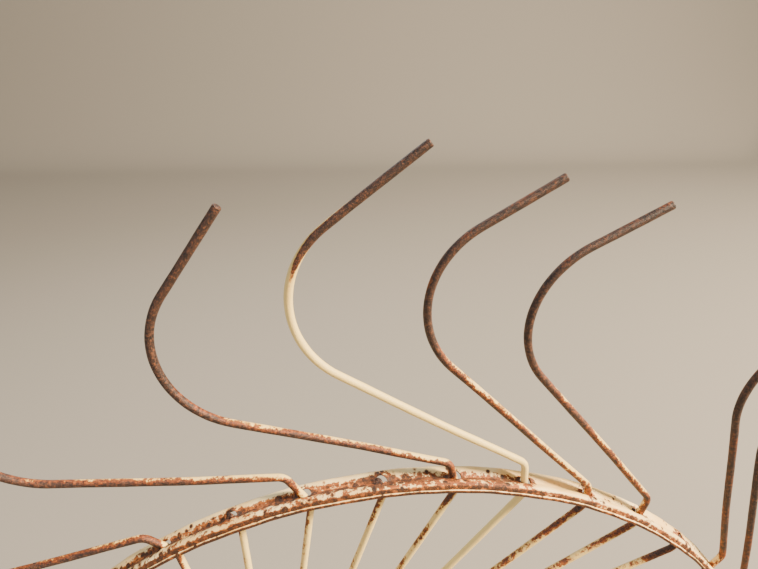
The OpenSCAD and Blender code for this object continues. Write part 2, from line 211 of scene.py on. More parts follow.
def wire_line(number):
    """A tine's centre line: its heading runs straight between knots at each bend's start and end, and its
    place is the running sum of the heading's cosine and sine. Gives distance, place, heading and the
    hole's distance."""
    turn, neck, trail, hook, tip = change_of(number) + (NECK_TURN - RIM_TURN, NECK, TRAIL, HOOK_TURN, TIP)
    cut = NECK_BEND_R * math.tan(math.radians(turn / 2))
    runs = [(1.5 * math.pi * EYE_R, -270), (BEND_AT - RIM_CUT - EYE_AT, 0),
            (RIM_BEND_R * math.radians(RIM_TURN), RIM_TURN), (RIM_IN + neck - RIM_CUT - cut, 0),
            (NECK_BEND_R * math.radians(turn), turn), (trail - cut, 0),
            (HOOK_BEND_R * math.radians(hook), -hook), (tip - TIP_TRIM, 0)]
    if number in TORN_TINES:
        runs = runs[:3] + [(RIM_IN - RIM_CUT + TORN_RISE, 0)]
    lengths, turns = np.array(runs).T
    knots = np.concatenate([[0], np.cumsum(lengths)])
    headings = np.concatenate([[270], 270 + np.cumsum(turns)])
    distance = np.linspace(0, knots[-1], 4001)
    step = distance[1]
    heading = np.radians(np.interp(distance - step / 2, knots, headings))
    x = EYE_AT + EYE_R + np.concatenate([[0], np.cumsum(step * np.cos(heading[1:]))])
    y = -EYE_R + np.concatenate([[0], np.cumsum(step * np.sin(heading[1:]))])
    return distance, x, y, heading, knots[3] + RIM_IN - RIM_CUT


def wires(numbers):
    """A round profile carried along each tine's line, with its rings closest where it bends. The radius
    swells and thins by two sines of a hundredth, the free part wanders by up to half a millimetre
    sideways and 0.7 mm along the axle, and each end is a quarter ellipse down to a flat disc; a torn end
    slants by a cosine round the wire."""
    points, along, seeds, kept_and_lit, front = [], [], [], [], []
    around = np.linspace(0, 2 * math.pi, SIDES, endpoint=False)
    cap_length, disc = 0.3 * WIRE_R, 0.72
    cap = cap_length * np.linspace(0, 1, 5) ** 1.5
    for number in numbers:
        distance, x, y, heading, hole = wire_line(number)
        last, torn = distance[-1], number in TORN_TINES
        bends = np.concatenate([[0], np.cumsum(np.abs(np.diff(heading)))])
        measure = distance / RING_STEP + bends / math.radians(RING_TURN)
        s = np.interp(np.linspace(0, measure[-1], RINGS), measure, distance)
        s = np.concatenate([cap, s[(s > WIRE_R + 1) & (s < last - WIRE_R - 1)], last - cap[::-1]])
        s = np.interp(np.linspace(0, 1, RINGS), np.linspace(0, 1, len(s)), s)
        to_end = np.minimum(np.minimum(s, last - s) / cap_length, 1.0)
        radius = WIRE_R * (disc + (1 - disc) * np.sqrt(1 - (1 - to_end) ** 2))
        radius = radius * (1 - 0.012 * (1 + np.sin(s / 9.1 + 5 * number))
                           - 0.008 * (1 + np.sin(s / 3.7 + 3 * number)))
        free = np.clip((s - hole - 40) / 60, 0, 1)
        wander = free * 0.5 * np.sin(s / 41 + 2 * number)
        lean = free * 0.7 * np.sin(s / 63 + 4 * number)
        turn = np.interp(s, distance, heading)[:, None]
        side = wander[:, None] + radius[:, None] * np.cos(around)
        out = lean[:, None] + radius[:, None] * np.sin(around)
        slant = 0 * side
        if torn:
            jag = 1.2 + 1.2 * np.cos(around + 2) + 0.5 * np.sin(3 * around)
            slant = -np.clip((s - last + TORN_END) / TORN_END, 0, 1)[:, None] * jag
        px = np.interp(s, distance, x)[:, None] - side * np.sin(turn) + slant * np.cos(turn)
        py = np.interp(s, distance, y)[:, None] + side * np.cos(turn) + slant * np.sin(turn)
        points.append(to_wheel(px, py, out, number))
        # A torn end is bare
        mark = np.where(s > last - TORN_END, BARE_MM, s - hole) if torn else s - hole
        along.append(np.repeat(mark[:, None], SIDES, 1))
        outside = np.clip((s - hole) / 20 + 0.5, 0, 1)[:, None]
        own = (0.5 + 0.618 * number) % 1
        seeds.append(TINE_PAINT.get(number, own) * outside
                     + SPOKE_PAINT.get(number, own) * (1 - outside) + 0 * side)
        # Paint is kept on a spoke's clockwise side, and on the upper side of a tine outside the rim. These
        # are the sides that the key light falls on: the cream there is partly wear and partly a painted
        # highlight, and the rust on the other side is partly painted shade
        up = np.cos(turn + heading_of(number))
        kept_and_lit.append(np.cos(around) * (outside * (1 + up) - 1))
        front.append(-np.sin(around) + 0 * turn)
    verts, faces = skin(np.array(points))
    return verts, faces, dict(along_mm=on_skin(np.array(along)), seed=on_skin(np.array(seeds)),
                              kept_and_lit=on_skin(np.array(kept_and_lit)), front=on_skin(np.array(front)))


def rim_profile(count):
    """The band's middle line: a cosine valley between two crowns, a quarter ellipse down each shoulder, a
    quarter circle at its foot and a flat edge, cut into equal steps. Gives arc, offset and radius."""
    s, quarter = np.linspace(0, 1, 25), np.linspace(0, math.pi / 2, 17)[1:]
    valley = np.stack([CROWN_OFF * s, RIM_R + CROWN_H * (1 - np.cos(math.pi * s)) / 2], 1)
    fall = CROWN_H + SHOULDER_DEPTH - FOOT_R
    shoulder = np.stack([CROWN_OFF + (SHOULDER_OFF - CROWN_OFF) * np.sin(quarter),
                         RIM_R + CROWN_H - fall * (1 - np.cos(quarter))], 1)
    foot = np.stack([SHOULDER_OFF + FOOT_R * (1 - np.cos(quarter)),
                     RIM_R - SHOULDER_DEPTH + FOOT_R * (1 - np.sin(quarter))], 1)
    edge = [[SHOULDER_OFF + EDGE_W, RIM_R - SHOULDER_DEPTH]]
    half = np.concatenate([valley, shoulder, foot, edge])
    line = np.concatenate([half[:0:-1] * [-1, 1], half])
    arc = np.concatenate([[0], np.cumsum(np.hypot(*np.diff(line, axis=0).T))])
    arc -= arc[-1] / 2
    even = np.linspace(arc[0], arc[-1], count)
    return even, np.interp(even, arc, line[:, 0]), np.interp(even, arc, line[:, 1])


def wear_and_shade_of(angle, across, from_hole, torn):
    """How far the rim's enamel has gone, 0 to 1, with painted shade on the shoulders: the sum of four bands,
    which are the valley, the near crown, the shoulders with the edges, whose dark is partly rust and partly
    painted shade, and the ring round a hole. Each runs straight between knots across the band, in
    millimetres, and the first three also between knots round the wheel."""
    degrees = np.degrees(angle + math.pi) % 360 - 180
    side = np.abs(across)
    valley = np.interp(degrees, WEAR_AT, VALLEY_WEAR) * np.interp(side, [0, 4, 7, 10], [1, 0.85, 0.1, 0])
    crown = np.interp(degrees, WEAR_AT, CROWN_WEAR) * np.interp(
        across, [-14, -10.5, -6, -3, 3], [0, 1, 1, 0.6, 0])
    # The shoulders and the outer part of each edge: dark brown, partly rust and partly painted shade
    shoulder = np.interp(degrees, WEAR_AT, SHOULDER_RUST_AND_SHADE) * np.interp(
        side, [11.2, 12.6, 15.6, 16.6, 18.1, 18.9], [0, 0.9, 1, 0.1, 0.1, 1])
    hole = np.interp(from_hole, [6, 9, 14], [0.6, 0.3, 0]) * (1 + 0.9 * torn)
    return np.clip(0.66 * valley + 0.55 * crown + 0.85 * shoulder + 0.5 * hole, 0, 1)


def rim_surface():
    """The band as a sheet with two faces: rows run round the wheel, nine degrees to each hole, columns
    run across the profile. Round each hole a square of the grid gives way to rings that run from the
    square to the hole's circle, and the hole's wall joins the two faces. Both faces rise in a low collar
    round each hole, a bell curve of the distance from its edge, higher and torn where a tine has torn
    off. Dents in the radius and a wobble along the axle are sums of sines."""
    arc, offset, radius = rim_profile(801)
    half_arc = arc[-1]
    tangent = np.stack([np.gradient(offset), np.gradient(radius)], 1)
    normal = np.stack([-tangent[:, 1], tangent[:, 0]], 1) / np.hypot(*tangent.T)[:, None]
    period = 2 * math.pi * RIM_R / TINES
    # The square's half width and its cells, the rings inside it, and the cells before it round and across
    block, cells, rings, left, low = 9.0, 10, 5, 9, 13
    square_line = np.linspace(-block, block, cells + 1)
    u = np.concatenate([np.linspace(-period / 2, -block, left + 1)[:-1], square_line,
                        np.linspace(block, period / 2, left + 1)[1:-1]])
    w = np.concatenate([np.linspace(-half_arc, -block, low + 1)[:-1], square_line,
                        np.linspace(block, half_arc, low + 1)[1:]])
    nu, nw = len(u), len(w)
    number = np.arange(TINES)[:, None, None]
    torn = np.isin(number, np.mod(TORN_TINES, TINES))
    # The hole's middle lies a little clockwise of its wire, which rests against the side to which it trails
    first = math.radians(FIRST_HOLE) + (HOLE_R - HOLE_REACH - SEAT) / RIM_R

    def place(u, w, face):
        """Point at u round the wheel from its hole and w across, on the outer (1) or inner (-1) face."""
        from_hole = np.hypot(u, w)
        angle = first + number * 2 * math.pi / TINES + u / RIM_R
        collar = COLLAR_H + torn * (TORN_COLLAR_H + 0.6 * np.sin(5 * np.arctan2(w, u)))
        lift = collar * np.exp(-((from_hole - HOLE_R) / COLLAR_W) ** 2)
        dent = (0.5 * np.sin(7 * angle + 1) * np.sin(w / 6) + 0.25 * np.sin(31 * angle + w / 5)
                + 0.15 * np.sin(83 * angle - w / 3))
        wobble = 1.2 * np.sin(2 * angle + 0.6) + 0.6 * np.sin(5 * angle) + 0.25 * np.sin(19 * angle)
        high = face * RIM_T / 2 + lift
        r = np.interp(w, arc, radius) + high * np.interp(w, arc, normal[:, 1]) + dent
        y = np.interp(w, arc, offset) + high * np.interp(w, arc, normal[:, 0]) + wobble
        wear_and_shade = wear_and_shade_of(angle, w, from_hole, torn) + (0.25 if face < 0 else 0.0)
        return np.stack([r * np.sin(angle), y + 0 * r, r * np.cos(angle)], -1), wear_and_shade + 0 * r

    verts, worn, faces, base = [], [], [], 0

    def keep(result):
        """Keeps an array of points and how dark their enamel is painted, and gives the points' numbers in the
        same array.
        """
        nonlocal base
        points, wear_and_shade = result
        index = base + np.arange(points[..., 0].size).reshape(points.shape[:-1])
        verts.append(points.reshape(-1, 3))
        worn.append(wear_and_shade.reshape(-1))
        base += index.size
        return index

    def quads(a, b, c, d):
        """Keeps a quad for each place in four arrays of point numbers."""
        faces.append(np.stack([a, b, c, d], -1).reshape(-1, 4))

    edges, circles = [], []
    solid = np.ones((nu, nw - 1), bool)
    solid[left:left + cells, low:low + cells] = False
    i0, i1, j0, j1 = left, left + cells, low, low + cells
    su = np.concatenate([u[i0:i1], np.full(cells, u[i1]), u[i1:i0:-1], np.full(cells, u[i0])])
    sw = np.concatenate([np.full(cells, w[j0]), w[j0:j1], np.full(cells, w[j1]), w[j1:j0:-1]])
    turn = np.arctan2(sw, su)
    cu, cw = HOLE_R * np.cos(turn), np.interp(HOLE_R * np.sin(turn), offset, arc)
    t = np.linspace(0, 1, rings + 1)[1:, None]
    for face in (1, -1):
        grid = keep(place(u[None, :, None], w[None, None, :], face))
        nxt = np.concatenate([grid[:, 1:], np.roll(grid, -1, axis=0)[:, :1]], 1)
        corners = grid[:, :, :-1], nxt[:, :, :-1], nxt[:, :, 1:], grid[:, :, 1:]
        quads(*(x[:, solid] for x in corners))
        square = np.concatenate([grid[:, i0:i1, j0], grid[:, i1, j0:j1], grid[:, i1:i0:-1, j1],
                                 grid[:, i0, j1:j0:-1]], 1)
        inner = keep(place((su + (cu - su) * t)[None], (sw + (cw - sw) * t)[None], face))
        rows = np.concatenate([square[:, None], inner], 1)
        side = np.roll(rows, -1, axis=2)
        quads(rows[:, :-1], side[:, :-1], side[:, 1:], rows[:, 1:])
        edges.append((grid, nxt))
        circles.append(rows[:, -1])
    (outer, outer_next), (under, under_next) = edges
    for j in (0, nw - 1):
        quads(outer[:, :, j], outer_next[:, :, j], under_next[:, :, j], under[:, :, j])
    quads(circles[0], np.roll(circles[0], -1, 1), np.roll(circles[1], -1, 1), circles[1])
    return np.concatenate(verts), faces, dict(wear_and_shade=np.concatenate(worn))


def plate_surface(side):
    """A hub plate as rows from the window's edge to the rim: the outer face stands out by a squared
    cosine over each tine's ring and tail, and the inner face is flat. side is -1 in front and 1
    behind."""
    turn = np.linspace(0, 2 * math.pi, 1080, endpoint=False)
    to_notch = (turn + math.pi / NOTCHES) % (2 * math.pi / NOTCHES) - math.pi / NOTCHES
    chord = np.sqrt(np.maximum(NOTCH_R ** 2 - (WINDOW_R * np.sin(to_notch)) ** 2, 0))
    notch = np.where(np.abs(to_notch) < 0.5, WINDOW_R * np.cos(to_notch) + chord, 0)
    inner = np.maximum(WINDOW_R, notch)
    share = np.concatenate([np.linspace(0, 0.72, 16)[:-1], np.linspace(0.72, 1, 36)])
    r = inner + (PLATE_R - inner) * share[:, None]
    x, z = r * np.sin(turn), r * np.cos(turn)
    ridge = 0 * r
    for number in range(TINES):
        lean = heading_of(number)
        along = x * math.cos(lean) + z * math.sin(lean) - EYE_AT
        away = z * math.cos(lean) - x * math.sin(lean) - SPOKE_OFF
        ring = np.abs(np.hypot(along, away + EYE_R) - EYE_R)
        tail = np.where(along > 0, np.abs(away), 99)
        near = np.minimum(ring, tail)
        ridge = np.maximum(ridge, np.cos(np.clip(near / RIDGE_HALF_W, 0, 1) * math.pi / 2) ** 2)
    fade = np.clip((PLATE_R - r) / 3, 0, 1)
    out = PLATE_FACE + RIDGE_H * ridge * fade + 0.25 * np.sin(3 * turn) * share[:, None]
    face = np.stack([x, side * out, z], -1)
    flat = CLAMP_HALF + 0.1

    def row(radius, height):
        """A ring of points at this radius and height above the tines' plane, on the plate's side."""
        return np.stack([radius * np.sin(turn), side * (height + 0 * radius), radius * np.cos(turn)], -1)

    round_in, round_out, ease = r[:1], r[-1:], PLATE_SOFT * 0.3
    grid = np.concatenate([row(round_in - ease, PLATE_FACE - PLATE_SOFT), face,
                           row(round_out + ease, PLATE_FACE - PLATE_SOFT),
                           row(round_out + ease, flat + PLATE_SOFT),
                           row(round_out, flat), row(round_in, flat)])
    edge = np.minimum(r - inner, PLATE_R - r)
    near_edge = np.concatenate([0 * r[:1], edge, 0 * r[:4]])
    high = np.concatenate([0 * r[:1], ridge, 0 * r[:4]])
    verts, faces = skin(grid[None], ring=True)
    return verts, faces, dict(edge_mm=near_edge.reshape(-1), ridge=high.reshape(-1))


def turned(profile, centres, axis_sign, sides, corners=0):
    """A profile of (radius, height) turned about the axle's direction at each centre. With corners it
    also gives the chamfer's radius: the radius is divided by the cosine of the angle from the nearest
    flat, up to the chamfer, which makes a nut's hexagon."""
    angle = np.linspace(0, 2 * math.pi, sides, endpoint=False)
    radius = np.repeat(profile[:, :1], sides, 1)
    if corners:
        wedge = 2 * math.pi / corners
        flat = 1 / np.cos((angle + wedge / 2) % wedge - wedge / 2)
        radius = np.where(profile[:, 2:3] > 0, np.minimum(radius * flat, profile[:, 2:3]), radius)
    height = np.repeat(profile[:, 1:2], sides, 1) * axis_sign
    ring = np.stack([radius * np.cos(angle), height, radius * np.sin(angle)], -1)
    return centres[:, None, None, :] + ring[None]


def places_round_axle(radius, count, y, first):
    """Places evenly round the axle, count of them, at height y, the first so many degrees from the top."""
    angle = np.radians(first) + np.arange(count) * 2 * math.pi / count
    return np.stack([radius * np.sin(angle), np.full(count, y), radius * np.cos(angle)], -1)


def weld_bead(name, line, tube_axis):
    """A ripple of weld round a closed line: a ring of points at the weld's radius about the line, which
    swells by a tenth with each ripple, the size of a sine. Each ring is set out from the line's own
    direction and the tube's axis, which are never parallel."""
    ahead = np.roll(line, -1, 0) - np.roll(line, 1, 0)
    ahead /= np.linalg.norm(ahead, axis=1, keepdims=True)
    up = np.cross(ahead, tube_axis)
    up /= np.linalg.norm(up, axis=1, keepdims=True)
    out = np.cross(up, ahead)
    around = np.linspace(0, 2 * math.pi, 10, endpoint=False)
    ripple = np.abs(np.sin(np.arange(len(line)) * math.pi / 4))
    size = (WELD_R * (0.92 + 0.1 * ripple))[:, None, None]
    circle = np.cos(around)[:, None] * up[:, None] + np.sin(around)[:, None] * out[:, None]
    points, faces = skin((line[:, None] + size * circle)[None], ring=True)
    piece(name, points, faces, ARM, "arm", "arm_paint", origin=np.zeros(3))


# Materials. Each starts from the real finish.


def rust_colours(material, where, grain, shades):
    """Old brown rust: dark scale, mid brown and orange powder mixed by two noises, and its height."""
    coarse = add(material, "ShaderNodeTexNoise", {"Vector": where, "Scale": per_m(grain), "Detail": 6.0,
                                                  "Roughness": 0.65})
    fine = add(material, "ShaderNodeTexNoise", {"Vector": where, "Scale": per_m(grain / 4), "Detail": 3.0,
                                                "Roughness": 0.6})
    both = add(material, "ShaderNodeMath", {0: coarse.outputs["Fac"], 1: fine.outputs["Fac"]},
               operation="ADD")
    half = add(material, "ShaderNodeMath", {0: both.outputs[0], 1: 0.5}, operation="MULTIPLY")
    ramp = add(material, "ShaderNodeValToRGB", {"Fac": half.outputs[0]},
               stops=list(zip((0.39, 0.46, 0.53, 0.60, 0.66), shades)))
    return ramp.outputs["Color"], half.outputs[0]


def weighted(material, first, *terms):
    """Adds up a value and each (value, weight) that follows."""
    for value, weight in terms:
        first = add(material, "ShaderNodeMath", {0: value, 1: weight, 2: first},
                    operation="MULTIPLY_ADD").outputs[0]
    return first


def coat(material, shade, rough, relief, depth, strength, metallic=0.0):
    """Closes a material with its colour, its roughness and a relief that is depth millimetres high."""
    bump = add(material, "ShaderNodeBump", {"Height": relief, "Distance": depth / 1000, "Strength": strength})
    surface = add(material, "ShaderNodeBsdfPrincipled", {"Base Color": shade, "Roughness": rough,
                                                         "Normal": bump.outputs[0], "Metallic": metallic})
    add(material, "ShaderNodeOutputMaterial", {"Surface": surface.outputs[0]})
    return material


def worn_wire(name, keep_stops, chips, kept_and_lit_weight, facing, stain):
    """Spring steel wire, oil tempered, painted once and left outside: purple brown rust with small pits,
    orange where paint has just gone, and islands of cream enamel where keep_stops leaves them along the
    wire. chips is how broken its edge is. The argument after chips leaves more paint, in a lighter cream, on
    the side that the key light falls on: partly wear, partly a painted highlight, with the shaded side
    painted as rust. More of it is left by facing on the front, and stain is how strong the orange is."""
    material = new_material(name)
    where = add(material, "ShaderNodeTexCoord").outputs["Object"]
    along, seed, kept_and_lit, front = (add(material, "ShaderNodeAttribute", attribute_name=key).outputs["Fac"]
                                for key in ("along_mm", "seed", "kept_and_lit", "front"))
    rust, height = rust_colours(material, where, 3.0, WIRE_RUST)
    place = add(material, "ShaderNodeMapRange",
                {"Value": along, "From Min": PAINT_FROM, "From Max": PAINT_TO}).outputs[0]
    keep = add(material, "ShaderNodeValToRGB", {"Fac": place}, stops=keep_stops).outputs["Color"]
    patches = add(material, "ShaderNodeTexNoise", {"Vector": where, "Scale": per_m(24.0), "Detail": 2.0})
    flakes = add(material, "ShaderNodeTexNoise", {"Vector": where, "Scale": per_m(3.5), "Detail": 5.0,
                                                  "Roughness": 0.7})
    # The side that the key light falls on keeps more paint: partly wear, partly a painted highlight, and the
    # other side's rust is partly painted shade
    level = weighted(material, keep, (flakes.outputs["Fac"], chips), (patches.outputs["Fac"], chips * 0.9),
                     (seed, chips * 0.45), (kept_and_lit, kept_and_lit_weight), (front, facing))
    level = add(material, "ShaderNodeMath", {0: level, 1: chips * 1.2}, operation="SUBTRACT").outputs[0]
    painted = add(material, "ShaderNodeValToRGB", {"Fac": level},
                  stops=[(0.50, 0.0), (0.525, 1.0)]).outputs["Color"]
    halo = add(material, "ShaderNodeValToRGB", {"Fac": level},
               stops=[(0.32, 0.0), (0.49, stain)]).outputs["Color"]
    orange = add(material, "ShaderNodeValToRGB", {"Fac": height},
                 stops=[(0.42, "#451904"), (0.50, "#7a3604"), (0.58, "#b25c0a")]).outputs["Color"]
    # A higher level gives a lighter cream, so the lit side's cream is also a painted highlight
    cream = add(material, "ShaderNodeValToRGB", {"Fac": level},
                stops=[(0.525, "#cf9742"), (0.57, "#eecd7e"), (0.80, "#f5da8b")]).outputs["Color"]
    bare = add(material, "ShaderNodeMix", {0: halo, 6: rust, 7: orange}, data_type="RGBA").outputs[2]
    shade = add(material, "ShaderNodeMix", {0: painted, 6: bare, 7: cream}, data_type="RGBA").outputs[2]
    rough = add(material, "ShaderNodeMapRange", {"Value": painted, "To Min": 0.52, "To Max": 0.36}).outputs[0]
    # The paint's edge is 0.4 of the relief, a third of a millimetre; the rest is pits
    relief = add(material, "ShaderNodeMath", {0: painted, 1: 0.4, 2: height},
                 operation="MULTIPLY_ADD").outputs[0]
    return coat(material, shade, rough, relief, 0.8, 0.9)


def rim_enamel():
    """Cream enamel on rolled mild steel, long left outside: chalky on the crowns, washed orange by the rust
    that runs from the holes and lies in the valley, brown scale on the shoulders that is partly painted
    shade, and small dots of rust all over."""
    material = new_material("rim_cream_enamel")
    where = add(material, "ShaderNodeTexCoord").outputs["Object"]
    wear_and_shade = add(material, "ShaderNodeAttribute", attribute_name="wear_and_shade").outputs["Fac"]
    rust, height = rust_colours(material, where, 2.5, SHEET_RUST)
    # Streaks are 45 mm long round the wheel and 3 mm wide across it
    stretched = add(material, "ShaderNodeMapping",
                    {"Vector": where, "Scale": (per_m(45), per_m(3), per_m(45))})
    streaks = add(material, "ShaderNodeTexNoise", {"Vector": stretched.outputs[0], "Scale": 1.0,
                                                   "Detail": 4.0, "Roughness": 0.6}).outputs["Fac"]
    patches = add(material, "ShaderNodeTexNoise", {"Vector": where, "Scale": per_m(40),
                                                   "Detail": 3.0}).outputs["Fac"]
    flakes = add(material, "ShaderNodeTexNoise", {"Vector": where, "Scale": per_m(5), "Detail": 5.0,
                                                  "Roughness": 0.7}).outputs["Fac"]
    # Flakes have clear edges, and break up the enamel most where it is worn, and on the shoulders, whose dark
    # is partly painted shade
    chips = add(material, "ShaderNodeMapRange",
                {"Value": flakes, "From Min": 0.40, "From Max": 0.60}).outputs[0]
    worn_and_shaded_chips = add(material, "ShaderNodeMath", {0: chips, 1: wear_and_shade}, operation="MULTIPLY").outputs[0]
    level = weighted(material, wear_and_shade, (streaks, 0.6), (patches, 0.4), (chips, 0.42), (worn_and_shaded_chips, 1.0))
    level = add(material, "ShaderNodeMath", {0: level, 1: 0.73}, operation="SUBTRACT").outputs[0]
    wash = add(material, "ShaderNodeValToRGB", {"Fac": level},
               stops=[(0.34, 0.0), (0.46, 0.97)]).outputs["Color"]
    scale = add(material, "ShaderNodeValToRGB", {"Fac": level},
                stops=[(0.94, 0.0), (0.98, 1.0)]).outputs["Color"]
    # Dots of rust, one to a cell of 8 mm, larger where the enamel has worn, each with an orange ring round it
    dots = add(material, "ShaderNodeTexVoronoi", {"Vector": where, "Scale": per_m(8)}).outputs["Distance"]
    dot_size = weighted(material, dots, (flakes, 0.5), (wear_and_shade, -0.3), (patches, -0.5))
    dot = add(material, "ShaderNodeValToRGB", {"Fac": dot_size},
              stops=[(0.15, 1.0), (0.19, 0.0)]).outputs["Color"]
    stain = add(material, "ShaderNodeValToRGB", {"Fac": dot_size},
                stops=[(0.17, 0.8), (0.30, 0.0)]).outputs["Color"]
    enamel = add(material, "ShaderNodeValToRGB", {"Fac": patches},
                 stops=[(0.35, "#f0c67a"), (0.6, "#fbe2a6")]).outputs["Color"]
    orange = add(material, "ShaderNodeValToRGB", {"Fac": streaks},
                 stops=[(0.35, "#a85a06"), (0.5, "#823a01"), (0.66, "#4a2002")]).outputs["Color"]
    wash = add(material, "ShaderNodeMath", {0: wash, 1: stain}, operation="MAXIMUM").outputs[0]
    washed = add(material, "ShaderNodeMix", {0: wash, 6: enamel, 7: orange}, data_type="RGBA").outputs[2]
    spotted = add(material, "ShaderNodeMix", {0: dot, 6: washed, 7: rust}, data_type="RGBA").outputs[2]
    shade = add(material, "ShaderNodeMix", {0: scale, 6: spotted, 7: rust}, data_type="RGBA").outputs[2]
    rough = add(material, "ShaderNodeMapRange", {"Value": wash, "To Min": 0.42, "To Max": 0.7}).outputs[0]
    relief = add(material, "ShaderNodeMath", {0: scale, 1: -0.4, 2: height},
                 operation="MULTIPLY_ADD").outputs[0]
    return coat(material, shade, rough, relief, 0.5, 0.7)


def plate_enamel():
    """Cream enamel on pressed sheet: orange stain in the lows and along edges, worn off the ridges."""
    material = new_material("hub_plate_cream_enamel")
    where = add(material, "ShaderNodeTexCoord").outputs["Object"]
    edge = add(material, "ShaderNodeAttribute", attribute_name="edge_mm").outputs["Fac"]
    ridge = add(material, "ShaderNodeAttribute", attribute_name="ridge").outputs["Fac"]
    rust, height = rust_colours(material, where, 3.0, SHEET_RUST)
    patches = add(material, "ShaderNodeTexNoise", {"Vector": where, "Scale": per_m(45), "Detail": 4.0,
                                                   "Roughness": 0.6}).outputs["Fac"]
    flakes = add(material, "ShaderNodeTexNoise", {"Vector": where, "Scale": per_m(6), "Detail": 5.0,
                                                  "Roughness": 0.7}).outputs["Fac"]
    edge_wear = add(material, "ShaderNodeMapRange", {"Value": edge, "From Min": 0.0, "From Max": 14.0,
                                                     "To Min": 0.40, "To Max": 0.0}).outputs[0]
    # Water stays at the foot of a ridge, which rusts most, and the top of a ridge is rubbed
    foot = add(material, "ShaderNodeValToRGB", {"Fac": ridge},
               stops=[(0.0, 0.0), (0.12, 0.30), (0.45, 0.05), (0.8, 0.0), (1.0, 0.12)]).outputs["Color"]
    level = weighted(material, edge_wear, (foot, 1.0), (patches, 1.1), (flakes, 0.8))
    level = add(material, "ShaderNodeMath", {0: level, 1: 0.66}, operation="SUBTRACT").outputs[0]
    wash = add(material, "ShaderNodeValToRGB", {"Fac": level},
               stops=[(0.2, 0.0), (0.55, 0.9)]).outputs["Color"]
    scale = add(material, "ShaderNodeValToRGB", {"Fac": level},
                stops=[(0.58, 0.0), (0.62, 1.0)]).outputs["Color"]
    enamel = add(material, "ShaderNodeValToRGB", {"Fac": patches},
                 stops=[(0.35, "#dcb46c"), (0.65, "#ecd094")]).outputs["Color"]
    washed = add(material, "ShaderNodeMix", {0: wash, 6: enamel, 7: colour("#a05c14")},
                 data_type="RGBA").outputs[2]
    shade = add(material, "ShaderNodeMix", {0: scale, 6: washed, 7: rust}, data_type="RGBA").outputs[2]
    rough = add(material, "ShaderNodeMapRange", {"Value": wash, "To Min": 0.42, "To Max": 0.7}).outputs[0]
    return coat(material, shade, rough, height, 0.4, 0.6)


def arm_enamel():
    """Brick red machine enamel, brushed on and faded by the sun: chalky pink where it has bleached, with
    brown rust where it has flaked."""
    material = new_material("arm_brick_red_enamel")
    where = add(material, "ShaderNodeTexCoord").outputs["Object"]
    rust, height = rust_colours(material, where, 3.0, SHEET_RUST)
    bleach = add(material, "ShaderNodeTexNoise", {"Vector": where, "Scale": per_m(60),
                                                  "Detail": 5.0}).outputs["Fac"]
    flakes = add(material, "ShaderNodeTexNoise", {"Vector": where, "Scale": per_m(12), "Detail": 6.0,
                                                  "Roughness": 0.72}).outputs["Fac"]
    red = add(material, "ShaderNodeValToRGB", {"Fac": bleach},
              stops=[(0.35, "#5c2118"), (0.5, "#722f24"), (0.68, "#8f4a3b")]).outputs["Color"]
    gone = add(material, "ShaderNodeValToRGB", {"Fac": flakes},
               stops=[(0.60, 0.0), (0.63, 1.0)]).outputs["Color"]
    shade = add(material, "ShaderNodeMix", {0: gone, 6: red, 7: rust}, data_type="RGBA").outputs[2]
    rough = add(material, "ShaderNodeMapRange", {"Value": gone, "To Min": 0.45, "To Max": 0.75}).outputs[0]
    relief = add(material, "ShaderNodeMath", {0: gone, 1: -0.8, 2: height},
                 operation="MULTIPLY_ADD").outputs[0]
    return coat(material, shade, rough, relief, 0.3, 0.6)


def plain_finish(name, dark, light, grain, rough_low, rough_high, depth, metallic):
    """Cast, turned, pressed or moulded: two close shades mixed by a noise of the grain's size, with the
    same noise as its relief and its roughness."""
    material = new_material(name)
    where = add(material, "ShaderNodeTexCoord").outputs["Object"]
    noise = add(material, "ShaderNodeTexNoise", {"Vector": where, "Scale": per_m(grain), "Detail": 6.0,
                                                 "Roughness": 0.65}).outputs["Fac"]
    grime = add(material, "ShaderNodeTexNoise", {"Vector": where, "Scale": per_m(grain * 9), "Detail": 3.0})
    mixed = add(material, "ShaderNodeMath", {0: noise, 1: grime.outputs["Fac"]},
                operation="MULTIPLY").outputs[0]
    shade = add(material, "ShaderNodeValToRGB", {"Fac": mixed},
                stops=[(0.15, dark), (0.38, light)]).outputs["Color"]
    rough = add(material, "ShaderNodeMapRange", {"Value": noise, "From Min": 0.3, "From Max": 0.7,
                                                 "To Min": rough_low, "To Max": rough_high}).outputs[0]
    return coat(material, shade, rough, noise, depth, 0.7, metallic)


OLD_WIRE = worn_wire("worn_spring_wire", [(0.0, 0.74), (0.33, 0.72), (0.38, 0.52), (0.42, 0.50), (0.50, 0.43),
                                          (0.59, 0.38), (0.66, 0.27), (0.85, 0.10)],
                     chips=0.6, kept_and_lit_weight=0.19, facing=-0.08, stain=0.95)
NEW_WIRE = worn_wire("new_cream_spring_wire", [(0.0, 1.36), (0.725, 1.36), (0.82, 0.66), (0.92, 0.1)],
                     chips=0.25, kept_and_lit_weight=0.05, facing=-0.60, stain=0.45)
RIM = rim_enamel()
PLATE = plate_enamel()
ARM = arm_enamel()
# Grey iron, sand cast: dark and grainy, with a faint shine where hands and grease have been
IRON = plain_finish("sand_cast_iron", "#35322f", "#6b6863", 2.5, 0.55, 0.8, 0.4, 0.3)
# Pressed steel sheet: dull grey, with brown spots
CAP = plain_finish("pressed_steel", "#5a4a3e", "#8d8a84", 4.0, 0.35, 0.6, 0.1, 0.7)
# Turned shaft steel under old grease: dark, low sheen
SHAFT = plain_finish("greasy_turned_steel", "#3a3733", "#7d7a74", 3.0, 0.3, 0.5, 0.05, 0.8)
# Upset rivets and bolts: brown rust with bright rubbed spots
RIVET = plain_finish("rusty_rivet_steel", "#3d241a", "#8a5a3c", 2.0, 0.55, 0.8, 0.3, 0.2)
# Nitrile rubber, moulded: nearly black, dusty
SEAL = plain_finish("nitrile_rubber", "#1a1918", "#34302c", 3.0, 0.6, 0.8, 0.1, 0.0)

